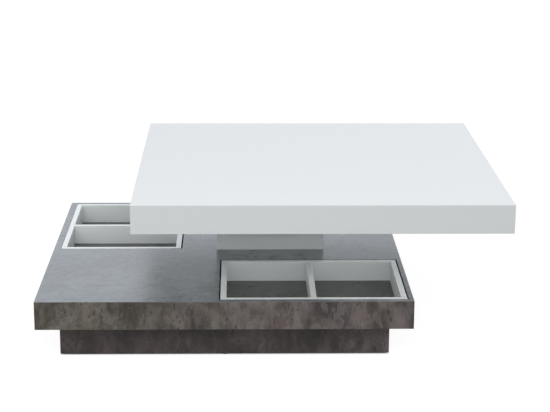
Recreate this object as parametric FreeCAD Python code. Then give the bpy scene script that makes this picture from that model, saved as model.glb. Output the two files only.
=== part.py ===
import FreeCAD, Part
import math
import os

# Swivel coffee table: a thick white square top that turns on an off-centre pedestal, over a
# low stone-look base with two loose white trays let into its deck.
# Millimetres, +Z up. The origin lies on the floor under the middle of the base.
# The top is drawn a quarter turn from closed, so it stands out past the right of the base.

Vector = FreeCAD.Vector
UP = Vector(0, 0, 1)

# Base body
side = 780.0  # side of the square base body, and of the top that covers it when closed
body_height = 60.0
apron = 10.0  # thickness of the boards round the base body
panel = 16.0  # thickness of the bottom and deck panels
deck_rail = 12.0  # thickness of the rails and ribs between the two panels
arris = 0.6  # rounding of the outer edges of boards

# Plinth
plinth_recess = 46.0  # set back from the base body on each side
plinth_height = 69.0
plinth_board = 16.0
corner_block = 30.0
corner_block_clear = 10.0  # corner blocks start this far above the plinth's lower edge
plinth_dowel_radius = 4.0
plinth_dowel_length = 30.0
plinth_dowel_in_face = 10.0  # depth of a dowel in the board that runs through
plinth_dowel_spacing = 36.0
block_screw_spacing = 12.0  # height between the two level screws of a corner block
block_screw_offset = 8.0  # from the middle of the block
wood_screw_radius = 2.0
wood_screw_head = 4.0
wood_screw_bite = 10.0  # length of a screw in the far board
glide_height = 3.0
glide_radius = 7.0
glide_rim = 1.0  # rounding of a glide's lower edge
glide_pin_radius = 1.5
glide_pin_length = 8.0
glide_inset = 40.0  # corner glides from the plinth's front and back faces

# Trays and the pockets that they stand in
pocket_past_middle = 12.0  # the end of a pocket lies this far beyond the base's middle
pocket_off_middle = 99.5  # the inner side of a pocket lies this far short of it
pocket_strip = 5.0  # thickness of the strip inside the apron, along the outer side of a pocket
tray_board = 12.0
tray_gap = 3.0  # round each tray in its pocket, on three sides
strip_gap = 0.5  # tray to the strip on its fourth side
tray_dowel_radius = 2.5
tray_dowel_length = 24.0
tray_dowel_in_face = 8.0
tray_dowel_spacing = 18.0

# Pedestal
pivot_offset = 100.0  # turning axis from the base's middle, along X and along Y
pedestal_side = 242.0
pedestal_height = 135.0
pedestal_board = 12.0
pedestal_panel = 16.0  # thickness of the cap and foot boards
foot_opening_radius = 50.0
access_radius = 8.0  # hole in the cap through which the upper swivel screws are driven
access_border = 4.0  # least board left outside that hole
bolt_radius = 3.0
bolt_inset = 53.0  # bolts from the edges of the foot board
bolt_flange_radius = 9.0
bolt_flange_sheet = 1.6
bolt_head_radius = 5.5
bolt_head_height = 5.0
bolt_grip = 12.0  # length of a bolt inside its threaded insert
bolt_play = 0.5  # round a bolt in the boards that it passes through
insert_radius = 5.5
insert_length = 13.0

# Swivel bearing
plate_sheet = 1.5
plate_lift = 0.2  # race groove above the board that the plate is screwed to
plate_corner = 8.0
ball_radius = 2.5
ball_count = 24
race_radius = 58.0
race_gap = 0.3  # round a ball in its race groove
race_border = 8.0  # raised part of the plate outside the race
race_slope = 3.0
flange_border = 2.0
plate_margin = 9.0
cage_sheet = 1.2
cage_gap = 0.7  # cage to each plate
cage_border = 6.0
cage_hole_gap = 0.2
sleeve_radius = 10.0
sleeve_bore = 8.0
sleeve_flange = 14.0
sleeve_sheet = 1.2
sleeve_gap = 0.3  # lower sleeve flange to the plate that it holds
running_gap = 0.05  # sleeve in the lower plate
plate_screw_inset = 12.0
plate_screw_radius = 2.0
plate_screw_head = 4.0
plate_screw_head_height = 2.2
lower_screw_length = 13.0  # under the head
upper_screw_length = 22.0

# Tabletop
top_height = 60.0
top_skin = 8.0
edge_band = 1.0
frame_rail = 38.0  # width of the frame rails inside the edge
swivel_block_border = 20.0  # block outside the swivel plate
cell_width = 50.0  # honeycomb cell across its flats
cell_wall = 2.0

# Clearances and small forms of fasteners
fastener_fit = 0.1  # round a dowel, pin, screw or insert in its hole
hole_spare = 0.5  # a blind hole is this much deeper than what it holds
dowel_chamfer = 0.8
screw_point = 4.0

# Levels
plinth_low = glide_height
body_low = plinth_low + plinth_height
floor_level = body_low + panel
deck_level = body_low + body_height
deck_under = deck_level - panel
cap_level = deck_level + pedestal_height
race_middle = ball_radius + race_gap + plate_sheet + plate_lift
swivel_height = 2 * race_middle
top_low = cap_level + swivel_height
top_high = top_low + top_height

# Plan sizes
half = side / 2
inner = half - apron
plinth_half = half - plinth_recess
plinth_inner = plinth_half - plinth_board
tray_height = body_height - panel
pocket_length = inner + pocket_past_middle
pocket_width = inner - pocket_strip - pocket_off_middle
tray_length = pocket_length - 2 * tray_gap
tray_width = pocket_width - tray_gap - strip_gap
pocket_near = -pocket_past_middle
pocket_far = pocket_off_middle
pedestal_half = pedestal_side / 2
pedestal_inner = pedestal_half - pedestal_board
bolt_offset = pedestal_inner - bolt_inset
raised_radius = race_radius + race_border
flange_radius = raised_radius + race_slope + flange_border
plate_half = flange_radius + plate_margin
plate_screw_offset = plate_half - plate_screw_inset
swivel_block_half = plate_half + swivel_block_border
top_middle = Vector(2 * pivot_offset, 0, 0)
pivot = Vector(pivot_offset, pivot_offset, 0)

SIGNS = (-1, 1)
CORNERS = [(sx, sy) for sx in SIGNS for sy in SIGNS]


def block(low, high):
    """Upright box between two opposite corners."""
    low, high = Vector(*low), Vector(*high)
    size = high - low
    return Part.makeBox(size.x, size.y, size.z, low)


def square_block(middle, half_side, low, high):
    """Upright square box round a vertical line."""
    return block((middle.x - half_side, middle.y - half_side, low),
                 (middle.x + half_side, middle.y + half_side, high))


def near(a, b):
    """Two coordinates are the same."""
    return abs(a - b) < 1e-6


def rounded(shape, wanted):
    """Shape with every edge rounded whose ends all satisfy the test."""
    edges = [e for e in shape.Edges if all(wanted(v.Point) for v in e.Vertexes)]
    return shape.makeFillet(arris, edges)


def turned(profile, base, axis):
    """Solid of revolution from (radius, height) points, standing on base along axis."""
    points = [Vector(r, 0, z) for r, z in profile]
    face = Part.Face(Part.makePolygon(points + points[:1]))
    solid = face.revolve(Vector(), UP, 360)
    solid.Placement = FreeCAD.Placement(base, FreeCAD.Rotation(UP, axis))
    return solid


def dowel(face, axis, radius, length, in_face):
    """Dowel across a joint: in_face deep behind the point on the joint, the rest along axis."""
    tip = radius - dowel_chamfer
    profile = [(0, 0), (tip, 0), (radius, dowel_chamfer), (radius, length - dowel_chamfer),
               (tip, length), (0, length)]
    return turned(profile, face - axis * in_face, axis)


def dowel_hole(face, axis, radius, length, in_face):
    """Hole for the dowel of the same measures, through both boards of the joint."""
    start = face - axis * (in_face + hole_spare)
    return Part.makeCylinder(radius + fastener_fit, length + 2 * hole_spare, start, axis)


def wood_screw(base, axis, length, grow=0.0):
    """Countersunk screw with its head flush at base. Grown, it is the screw's own hole."""
    shank = wood_screw_radius + grow
    head = wood_screw_head + grow
    end = length + grow
    profile = [(0, 0), (head, 0), (shank, head - shank), (shank, end - screw_point), (0, end)]
    return turned(profile, base, axis)


def plate_screw(seat, axis, length):
    """Pan-head screw whose head rests on a plate at seat, with its shank along axis."""
    bevel = plate_screw_head_height / 2
    profile = [(0, -plate_screw_head_height), (plate_screw_head - bevel, -plate_screw_head_height),
               (plate_screw_head, -bevel), (plate_screw_head, 0), (plate_screw_radius, 0),
               (plate_screw_radius, length - screw_point), (0, length)]
    return turned(profile, seat, axis)


def mitred_boards(prefix, middle, half_side, wall, low, high):
    """Four boards round a square, mitred at the corners: front, back, left and right."""
    ring = rounded(square_block(middle, half_side, low, high), lambda p: True)
    ring = ring.cut(square_block(middle, half_side - wall, low, high))
    reach = 2 * half_side
    quarters = {"front": ((-1, -1), (1, -1)), "right": ((1, -1), (1, 1)),
                "back": ((1, 1), (-1, 1)), "left": ((-1, 1), (-1, -1))}
    boards = {}
    for name, corners in quarters.items():
        points = [middle + UP * low]
        points += [middle + Vector(sx * reach, sy * reach, low) for sx, sy in corners]
        wedge = Part.Face(Part.makePolygon(points + points[:1])).extrude(UP * (high - low))
        boards[f"{prefix}_{name}"] = ring.common(wedge)
    return boards


def plinth_joints():
    """Points and directions of the plinth's dowels, two at each end of a board across."""
    across = (-plinth_half + plinth_board / 2, 0, plinth_half - plinth_board / 2)
    middle = plinth_low + plinth_height / 2
    return [(Vector(sx * plinth_inner, y, middle + sz * plinth_dowel_spacing / 2), Vector(-sx, 0, 0))
            for y in across for sx in SIGNS for sz in SIGNS]


def glide_places():
    """Glides under the side boards, the front and back boards and the middle of the rail."""
    edge = plinth_half - plinth_board / 2
    ends = (glide_inset - plinth_half, 0, plinth_half - glide_inset)
    places = [(sx * edge, y) for sx in SIGNS for y in ends]
    return places + [(0, -edge), (0, 0), (0, edge)]


def level_screws():
    """Base point and direction of the level screws, two in each corner block."""
    middle = plinth_low + plinth_height / 2
    face = plinth_inner - corner_block
    beside = plinth_inner - corner_block / 2 + block_screw_offset
    low, high = middle - block_screw_spacing / 2, middle + block_screw_spacing / 2
    screws = [(Vector(sx * face, sy * beside, low), Vector(sx, 0, 0)) for sx, sy in CORNERS]
    return screws + [(Vector(sx * beside, sy * face, high), Vector(0, sy, 0)) for sx, sy in CORNERS]


def upright_screws():
    """Base points of the screws that go up through the corner blocks."""
    centre = plinth_inner - corner_block / 2
    return [Vector(sx * centre, sy * centre, plinth_low + corner_block_clear) for sx, sy in CORNERS]


level_screw_length = corner_block + wood_screw_bite
upright_screw_length = plinth_height - corner_block_clear + wood_screw_bite


def upright_screw_holes():
    """Holes of the screws that hold the plinth to the base body."""
    return [wood_screw(p, UP, upright_screw_length, fastener_fit) for p in upright_screws()]


def plinth():
    """Boards under the base body, with the side boards running through to the front."""
    measures = (plinth_dowel_radius, plinth_dowel_length, plinth_dowel_in_face)
    holes = [dowel_hole(face, axis, *measures) for face, axis in plinth_joints()]
    holes += [wood_screw(p, a, level_screw_length, fastener_fit) for p, a in level_screws()]
    pin_hole = (glide_pin_radius + fastener_fit, glide_pin_length + hole_spare)
    holes += [Part.makeCylinder(*pin_hole, Vector(x, y, plinth_low)) for x, y in glide_places()]

    nodes = {}
    for sx, name in zip(SIGNS, ("left", "right")):
        xs = sorted((sx * plinth_inner, sx * plinth_half))
        board = block((xs[0], -plinth_half, plinth_low), (xs[1], plinth_half, body_low))
        board = rounded(board, lambda p, s=sx: near(p.x, s * plinth_half))
        nodes[f"plinth_{name}"] = board.cut(holes)
    for sy, name in zip(SIGNS, ("front", "back")):
        ys = sorted((sy * plinth_inner, sy * plinth_half))
        board = block((-plinth_inner, ys[0], plinth_low), (plinth_inner, ys[1], body_low))
        nodes[f"plinth_{name}"] = board.cut(holes)
    rail = block((-plinth_inner, -plinth_board / 2, plinth_low),
                 (plinth_inner, plinth_board / 2, body_low))
    nodes["plinth_cross_rail"] = rail.cut(holes)

    blocks = []
    for sx, sy in CORNERS:
        xs = sorted((sx * plinth_inner, sx * (plinth_inner - corner_block)))
        ys = sorted((sy * plinth_inner, sy * (plinth_inner - corner_block)))
        post = block((xs[0], ys[0], plinth_low + corner_block_clear), (xs[1], ys[1], body_low))
        blocks.append(post.cut(holes + upright_screw_holes()))
    nodes["plinth_corner_blocks"] = Part.makeCompound(blocks)
    nodes["plinth_dowels"] = Part.makeCompound([dowel(f, a, *measures) for f, a in plinth_joints()])
    nodes["plinth_block_screws"] = Part.makeCompound(
        [wood_screw(p, a, level_screw_length) for p, a in level_screws()])
    nodes["plinth_deck_screws"] = Part.makeCompound(
        [wood_screw(p, UP, upright_screw_length) for p in upright_screws()])
    nodes["floor_glides"] = Part.makeCompound([glide(x, y) for x, y in glide_places()])
    return nodes


def glide(x, y):
    """Plastic foot with a pin that is driven into the board's lower edge."""
    tip = glide_height + glide_pin_length
    profile = [(0, 0), (glide_radius - glide_rim, 0), (glide_radius, glide_rim),
               (glide_radius, glide_height), (glide_pin_radius, glide_height),
               (glide_pin_radius, tip), (0, tip)]
    return turned(profile, Vector(x, y, 0), UP)


def bolt_places():
    """Points above which the pedestal's bolts stand."""
    return [pivot + Vector(sx * bolt_offset, sy * bolt_offset, 0) for sx, sy in CORNERS]


def bolt_holes():
    """Holes for the bolts, through the base body."""
    return [Part.makeCylinder(bolt_radius + bolt_play, body_height, p + UP * body_low)
            for p in bolt_places()]


def base_body():
    """Hollow box of aprons, bottom panel and deck, with two corners open for the trays."""
    middle = Vector()
    nodes = mitred_boards("base_apron", middle, half, apron, body_low, deck_level)
    bottom = square_block(middle, inner, body_low, floor_level)
    nodes["base_bottom_panel"] = bottom.cut(bolt_holes() + upright_screw_holes())

    outline = [(-inner, -inner), (pocket_near, -inner), (pocket_near, -pocket_far), (inner, -pocket_far),
               (inner, inner), (-pocket_far, inner), (-pocket_far, pocket_near), (-inner, pocket_near)]
    points = [Vector(x, y, deck_under) for x, y in outline]
    deck = Part.Face(Part.makePolygon(points + points[:1])).extrude(UP * panel)
    nodes["base_deck_panel"] = deck.cut(bolt_holes())

    near_back = pocket_near - deck_rail
    far_back = pocket_far - deck_rail
    front_rails = [((near_back, -inner), (pocket_near, -pocket_far)),
                   ((near_back, -pocket_far), (inner, -far_back))]
    rear_rails = [((-inner, near_back), (-pocket_far, pocket_near)),
                  ((-pocket_far, near_back), (-far_back, inner))]
    nodes["base_pocket_rails"] = deck_supports(front_rails + rear_rails)
    strip_face = pocket_strip - inner
    nodes["base_front_pocket_strip"] = block((pocket_near, -inner, floor_level),
                                             (inner, strip_face, deck_level))
    nodes["base_rear_pocket_strip"] = block((-inner, pocket_near, floor_level),
                                            (strip_face, inner, deck_level))

    core = square_block(pivot, pedestal_inner, floor_level, deck_under)
    nodes["base_core_block"] = core.cut(bolt_holes())
    open_corner = (near_back - inner) / 2
    beyond_core = (pivot_offset + pedestal_inner + inner) / 2
    ribs = [((-inner, open_corner - deck_rail / 2), (near_back, open_corner + deck_rail / 2)),
            ((-far_back, beyond_core - deck_rail / 2), (inner, beyond_core + deck_rail / 2)),
            ((beyond_core - deck_rail / 2, -far_back), (beyond_core + deck_rail / 2,
                                                        beyond_core - deck_rail / 2))]
    nodes["base_ribs"] = deck_supports(ribs)
    return nodes


def deck_supports(plans):
    """Upright strips between the bottom panel and the deck, from their plan corners."""
    return Part.makeCompound([block((*low, floor_level), (*high, deck_under)) for low, high in plans])


def tray(places, centre, turn):
    """Frame of four boards with a divider, from node names for each place in it."""
    ends, sides = tray_length / 2, tray_width / 2
    run, span = ends - tray_board, sides - tray_board
    side_middle = sides - tray_board / 2
    levels = [tray_height / 2 + sz * tray_dowel_spacing / 2 for sz in SIGNS]
    joints = [(Vector(sx * run, sy * side_middle, z), Vector(-sx, 0, 0))
              for sx, sy in CORNERS for z in levels]
    joints += [(Vector(0, sy * span, z), Vector(0, -sy, 0)) for sy in SIGNS for z in levels]
    measures = (tray_dowel_radius, tray_dowel_length, tray_dowel_in_face)
    holes = [dowel_hole(face, axis, *measures) for face, axis in joints]
    plans = {"low_end": ((-ends, -sides), (-run, sides)),
             "high_end": ((run, -sides), (ends, sides)),
             "low_side": ((-run, -sides), (run, -span)),
             "high_side": ((-run, span), (run, sides)),
             "divider": ((-tray_board / 2, -span), (tray_board / 2, span))}
    shapes = {}
    for place, (low, high) in plans.items():
        board = block((*low, 0), (*high, tray_height))
        board = rounded(board, lambda p: near(p.z, tray_height))
        shapes[places[place]] = board.cut(holes)
    shapes[places["dowels"]] = Part.makeCompound([dowel(f, a, *measures) for f, a in joints])
    for shape in shapes.values():
        shape.rotate(Vector(), UP, turn)
        shape.translate(centre)
    return shapes


def trays():
    """The tray at the front right, and the same tray turned, at the rear left."""
    along = inner - pocket_length / 2
    across = pocket_strip + strip_gap + tray_width / 2 - inner
    front = {"low_end": "front_tray_left_end", "high_end": "front_tray_right_end",
             "low_side": "front_tray_front_side", "high_side": "front_tray_back_side",
             "divider": "front_tray_divider", "dowels": "front_tray_dowels"}
    rear = {"low_end": "rear_tray_front_end", "high_end": "rear_tray_back_end",
            "low_side": "rear_tray_right_side", "high_side": "rear_tray_left_side",
            "divider": "rear_tray_divider", "dowels": "rear_tray_dowels"}
    nodes = tray(front, Vector(along, across, floor_level), 0)
    nodes.update(tray(rear, Vector(across, along, floor_level), 90))
    return nodes


def pedestal():
    """Mitred box that stands on the deck, bolted from below, with a cap for the swivel."""
    nodes = mitred_boards("pedestal", pivot, pedestal_half, pedestal_board, deck_level, cap_level)
    foot_top = deck_level + pedestal_panel
    foot = square_block(pivot, pedestal_inner, deck_level, foot_top)
    opening = Part.makeCylinder(foot_opening_radius, pedestal_panel, pivot + UP * deck_level)
    seat = (insert_radius + fastener_fit, insert_length + hole_spare)
    seats = [Part.makeCylinder(*seat, p + UP * deck_level) for p in bolt_places()]
    nodes["pedestal_foot"] = foot.cut([opening] + seats)
    nodes["pedestal_inserts"] = Part.makeCompound([threaded_insert(p) for p in bolt_places()])
    nodes["pedestal_bolts"] = Part.makeCompound([flange_bolt(p) for p in bolt_places()])

    cap = square_block(pivot, pedestal_inner, cap_level - pedestal_panel, cap_level)
    shank = plate_screw_radius + fastener_fit
    pilots = [Part.makeCylinder(shank, lower_screw_length + hole_spare, p + UP * cap_level, -UP)
              for p in plate_screw_places()]
    access = Part.makeCylinder(access_radius, pedestal_panel,
                               access_place() + UP * (cap_level - pedestal_panel))
    nodes["pedestal_cap"] = cap.cut(pilots + [access])
    return nodes


def access_place():
    """Point below the circle of the upper plate's screws, as far out along X as the cap allows."""
    reach = math.hypot(plate_screw_offset, plate_screw_offset)
    room = pedestal_inner - access_border - access_radius
    along = min(reach, room)
    return pivot + Vector(along, math.sqrt(reach ** 2 - along ** 2), 0)


def threaded_insert(place):
    """Metal sleeve in the foot board that a bolt screws into."""
    bore = bolt_radius + fastener_fit
    profile = [(bore, 0), (insert_radius, 0), (insert_radius, insert_length), (bore, insert_length)]
    return turned(profile, place + UP * deck_level, UP)


def flange_bolt(place):
    """Bolt from under the base body up into the pedestal's foot, with a washer face."""
    tip = body_height + bolt_grip
    under = bolt_flange_sheet + bolt_head_height
    profile = [(0, -under), (bolt_head_radius, -under), (bolt_head_radius, -bolt_flange_sheet),
               (bolt_flange_radius, -bolt_flange_sheet), (bolt_flange_radius, 0), (bolt_radius, 0),
               (bolt_radius, tip), (0, tip)]
    return turned(profile, place + UP * body_low, UP)


def plate_screw_places():
    """Points above which the screws of a swivel plate stand."""
    return [pivot + Vector(sx * plate_screw_offset, sy * plate_screw_offset, 0) for sx, sy in CORNERS]


def pressed_plate():
    """Square sheet pressed up round its middle, with a race groove and a hole for the sleeve.

    It lies on the pedestal's cap, raised side up. The upper plate is the same, turned over.
    """
    groove = ball_radius + race_gap
    upper = race_middle - cage_sheet / 2 - cage_gap
    lower = upper - plate_sheet
    mouth = math.sqrt(groove ** 2 - (race_middle - upper) ** 2)
    back = math.sqrt((groove + plate_sheet) ** 2 - (race_middle - lower) ** 2)
    hole = sleeve_radius + running_gap

    def at(radius, height):
        return Vector(radius, 0, height)

    def line(*points):
        return [Part.makeLine(at(*a), at(*b)) for a, b in zip(points, points[1:])]

    def arc(reach, height, depth):
        ends = [at(race_radius + s * reach, height) for s in SIGNS]
        return Part.Arc(ends[0], at(race_radius, race_middle - depth), ends[1]).toShape()

    foot = raised_radius + race_slope
    edges = line((hole, upper), (race_radius - mouth, upper)) + [arc(mouth, upper, groove)]
    edges += line((race_radius + mouth, upper), (raised_radius, upper), (foot, plate_sheet),
                  (flange_radius, plate_sheet), (flange_radius, 0), (foot, 0), (raised_radius, lower),
                  (race_radius + back, lower))
    edges += [arc(back, lower, groove + plate_sheet)]
    edges += line((race_radius - back, lower), (hole, lower), (hole, upper))
    dish = Part.Face(Part.Wire(Part.__sortEdges__(edges))).revolve(Vector(), UP, 360)

    sheet = square_block(Vector(), plate_half, 0, plate_sheet)
    upright = [e for e in sheet.Edges if not near(e.Vertexes[0].Z, e.Vertexes[1].Z)]
    sheet = sheet.makeFillet(plate_corner, upright)
    sheet = sheet.cut(Part.makeCylinder(flange_radius, plate_sheet))
    plate = dish.fuse(sheet).removeSplitter()
    plate.translate(pivot + UP * cap_level)
    shank = plate_screw_radius + fastener_fit
    holes = [Part.makeCylinder(shank, plate_sheet, p + UP * cap_level) for p in plate_screw_places()]
    return plate.cut(holes)


def swivel():
    """Two pressed plates that turn on a ring of balls, held together by a tubular sleeve."""
    middle = pivot + UP * (cap_level + race_middle)
    upper_plate = pressed_plate()
    upper_plate.rotate(middle, Vector(1, 0, 0), 180)
    nodes = {"swivel_lower_plate": pressed_plate(), "swivel_upper_plate": upper_plate}

    lower_seat = UP * (cap_level + plate_sheet)
    upper_seat = UP * (top_low - plate_sheet)
    nodes["swivel_lower_screws"] = Part.makeCompound(
        [plate_screw(p + lower_seat, -UP, lower_screw_length + plate_sheet) for p in plate_screw_places()])
    nodes["swivel_upper_screws"] = Part.makeCompound(
        [plate_screw(p + upper_seat, UP, upper_screw_length + plate_sheet) for p in plate_screw_places()])
    nodes["swivel_sleeve"] = sleeve(middle)

    angles = [360 / ball_count * i for i in range(ball_count)]
    spots = [FreeCAD.Rotation(UP, a).multVec(Vector(race_radius, 0, 0)) for a in angles]
    nodes["swivel_balls"] = Part.makeCompound([Part.makeSphere(ball_radius, middle + s) for s in spots])
    cage_low = middle - UP * (cage_sheet / 2)
    cage = Part.makeCylinder(race_radius + cage_border, cage_sheet, cage_low)
    holes = [Part.makeCylinder(race_radius - cage_border, cage_sheet, cage_low)]
    holes += [Part.makeCylinder(ball_radius + cage_hole_gap, cage_sheet, cage_low + s) for s in spots]
    nodes["swivel_ball_cage"] = cage.cut(holes)
    return nodes


def sleeve(middle):
    """Tubular rivet through both plates: seated on the upper one, it keeps the lower one on."""
    outside = cage_sheet / 2 + cage_gap + plate_sheet
    low = -outside - sleeve_gap
    profile = [(sleeve_bore, low - sleeve_sheet), (sleeve_flange, low - sleeve_sheet),
               (sleeve_flange, low), (sleeve_radius, low), (sleeve_radius, outside),
               (sleeve_flange, outside), (sleeve_flange, outside + sleeve_sheet),
               (sleeve_bore, outside + sleeve_sheet)]
    return turned(profile, middle, UP)


def tabletop():
    """Lightweight board: two skins on a frame and a paper honeycomb, with banded edges."""
    skin_half = half - edge_band
    core_low, core_high = top_low + top_skin, top_high - top_skin
    pilots = [Part.makeCylinder(plate_screw_radius + fastener_fit, upper_screw_length + hole_spare,
                                p + UP * top_low) for p in plate_screw_places()]
    bottom = square_block(top_middle, skin_half, top_low, core_low)
    nodes = {"tabletop_top_skin": square_block(top_middle, skin_half, core_high, top_high),
             "tabletop_bottom_skin": bottom.cut(pilots)}
    solid_block = square_block(pivot, swivel_block_half, core_low, core_high)
    nodes["tabletop_swivel_block"] = solid_block.cut(pilots)
    nodes["tabletop_honeycomb_core"] = honeycomb(core_low, core_high)

    within = skin_half - frame_rail
    for name, low, high in four_sides(skin_half, within):
        rail = block((*low, core_low), (*high, core_high))
        rail.translate(top_middle)
        nodes[f"tabletop_frame_{name}"] = rail
    for name, low, high in four_sides(half, skin_half):
        band = block((*low, top_low), (*high, top_high))
        axis = "y" if name in ("front", "back") else "x"
        band = rounded(band, lambda p, a=axis: near(abs(getattr(p, a)), half))
        band.translate(top_middle)
        nodes[f"tabletop_edge_{name}"] = band
    return nodes


def four_sides(outer, within):
    """Names and plan corners of four strips round a square, front and back running through."""
    return (("front", (-outer, -outer), (outer, -within)), ("back", (-outer, within), (outer, outer)),
            ("left", (-outer, -within), (-within, within)), ("right", (within, -within), (outer, within)))


def honeycomb(low, high):
    """Paper core between the frame rails and the swivel block, with whole cells only."""
    core = half - edge_band - frame_rail
    centre = pivot - top_middle
    radius = cell_width / math.sqrt(3)
    pitch = cell_width + cell_wall
    row_step = pitch * math.sqrt(3) / 2
    rows = int(core / row_step)
    columns = int(core / pitch) + 1

    def fits(x, y):
        side_room = cell_width / 2 + cell_wall
        end_room = radius + cell_wall
        inside = abs(x) + side_room < core and abs(y) + end_room < core
        clear = (abs(x - centre.x) > swivel_block_half + side_room
                 or abs(y - centre.y) > swivel_block_half + end_room)
        return inside and clear

    cells = [(column * pitch + row % 2 * pitch / 2, row * row_step)
             for row in range(-rows, rows + 1) for column in range(-columns, columns + 1)]
    outlines = [square_outline(Vector(), core), square_outline(centre, swivel_block_half)]
    outlines += [cell_outline(x, y, radius) for x, y in cells if fits(x, y)]
    face = Part.Face(outlines, "Part::FaceMakerBullseye")
    core_board = face.extrude(UP * (high - low))
    core_board.translate(top_middle + UP * low)
    return core_board


def square_outline(centre, half_side):
    """Closed square wire in plan."""
    corners = [centre + Vector(sx * half_side, sy * half_side, 0)
               for sx, sy in ((-1, -1), (1, -1), (1, 1), (-1, 1))]
    return Part.makePolygon(corners + corners[:1])


def cell_outline(x, y, radius):
    """Closed six-sided wire in plan, with two sides along Y."""
    turns = [math.radians(30 + 60 * i) for i in range(6)]
    corners = [Vector(x + radius * math.cos(a), y + radius * math.sin(a), 0) for a in turns]
    return Part.makePolygon(corners + corners[:1])


def main():
    """Write each piece of the table to its own file."""
    os.makedirs("parts", exist_ok=True)
    for make in (plinth, base_body, trays, pedestal, swivel, tabletop):
        for name, shape in make().items():
            shape.exportStep(f"parts/{name}.step")


main()
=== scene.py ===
"""Looks of a swivel coffee table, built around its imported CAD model.

The boards keep their CAD meshes and get procedural finishes. Screws, bolts, balls, dowels,
inserts and floor glides are new surfaces worked out with numpy, in place of the plain solids.
Pieces are measured in millimetres, patterns and the studio in metres. +Z is up, and the origin
lies on the floor under the middle of the base.
"""

import logging
import math
from dataclasses import asdict, dataclass, replace
from enum import Enum

import bpy
import numpy as np
from mathutils import Matrix, Vector


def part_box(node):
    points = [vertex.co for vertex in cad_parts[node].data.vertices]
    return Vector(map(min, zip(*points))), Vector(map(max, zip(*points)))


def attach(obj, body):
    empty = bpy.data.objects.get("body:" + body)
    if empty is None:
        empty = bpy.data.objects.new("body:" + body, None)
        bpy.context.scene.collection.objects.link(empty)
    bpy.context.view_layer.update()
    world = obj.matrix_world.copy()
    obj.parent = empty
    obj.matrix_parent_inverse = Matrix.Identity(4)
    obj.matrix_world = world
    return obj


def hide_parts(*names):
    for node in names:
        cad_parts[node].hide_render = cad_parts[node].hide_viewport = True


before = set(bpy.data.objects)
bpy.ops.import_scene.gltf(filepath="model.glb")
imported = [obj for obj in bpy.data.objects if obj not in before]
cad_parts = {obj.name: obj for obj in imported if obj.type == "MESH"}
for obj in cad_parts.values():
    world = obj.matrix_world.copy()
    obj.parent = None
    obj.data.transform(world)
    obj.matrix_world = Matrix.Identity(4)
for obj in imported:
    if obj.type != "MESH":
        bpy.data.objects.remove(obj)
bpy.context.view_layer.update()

LOG = logging.getLogger("coffee_table")
Array = np.ndarray
Triple = tuple[float, float, float]
Colour = Triple
Pair = tuple[float, float]
Place = tuple[Triple | Array, Triple]
Socket = bpy.types.NodeSocket
MM = 0.001
TURN = 2 * math.pi
SIXTH = TURN / 6
UP = (0, 0, 1)
DOWN = (0, 0, -1)
SIGNS = (-1, 1)
CORNERS = [(sx, sy) for sx in SIGNS for sy in SIGNS]
BLACK = (0.0, 0.0, 0.0)
WHITE = (1.0, 1.0, 1.0)
# Middle of a noise's values, where most of them lie, and the narrower range that gloss follows
NOISE_MIDDLE = 0.5
NOISE_SPAN = (0.3, 0.7)
GLOSS_SPAN = (0.35, 0.65)


class Axis(Enum):
    """Direction in the table's frame."""

    X = (1.0, 0.0, 0.0)
    Y = (0.0, 1.0, 0.0)
    Z = (0.0, 0.0, 1.0)

    def stretched(self, along: float) -> Triple:
        """Pattern scale that is `along` in this direction and 1 in the other two."""
        x, y, z = (along if part else 1.0 for part in self.value)
        return x, y, z


class Body(Enum):
    """CAD body that a piece rides on."""

    BASE = "base"
    TABLETOP = "tabletop"
    BALL_RING = "ball_ring"
    FRONT_TRAY = "front_tray"
    REAR_TRAY = "rear_tray"


class Tree(Enum):
    """What owns a node tree: the coordinates that it reads and the node that it ends in."""

    MATERIAL = ("Object", "OutputMaterial")
    WORLD = ("Generated", "OutputWorld")


class Maths(Enum):
    """What a node tree does with numbers."""

    ABSOLUTE = "ABSOLUTE"
    SUBTRACT = "SUBTRACT"
    MULTIPLY = "MULTIPLY"
    MULTIPLY_ADD = "MULTIPLY_ADD"
    MAXIMUM = "MAXIMUM"


class Blend(Enum):
    """How one colour goes over another."""

    MIX = "MIX"
    MULTIPLY = "MULTIPLY"
    OVERLAY = "OVERLAY"


class Cell(Enum):
    """What a pattern of cells gives: the way to the nearest cell's point, or its own colour."""

    DISTANCE = "Distance"
    COLOUR = "Color"


class Ray(Enum):
    """Rays that see the floor and the sky, where the others only light the table."""

    CAMERA = "Is Camera Ray"
    GLOSSY = "Is Glossy Ray"
    TRANSMISSION = "Is Transmission Ray"


@dataclass(frozen=True)
class Box:
    """Place of CAD nodes at rest, in millimetres."""

    low: Array
    high: Array

    @classmethod
    def around(cls, *nodes: str) -> "Box":
        """Box around CAD nodes, to the nearest thousandth."""
        ends = np.array([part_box(node) for node in nodes]) / MM
        return cls(ends[:, 0].min(0).round(3), ends[:, 1].max(0).round(3))

    @property
    def middle(self) -> Array:
        """Point in its middle."""
        return (self.low + self.high) / 2

    @property
    def size(self) -> Array:
        """Its width, depth and height."""
        return self.high - self.low

    def reach(self, radius: float) -> Array:
        """How far from the middle, each way, the axes of its outermost round pieces lie."""
        return self.size / 2 - radius


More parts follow.
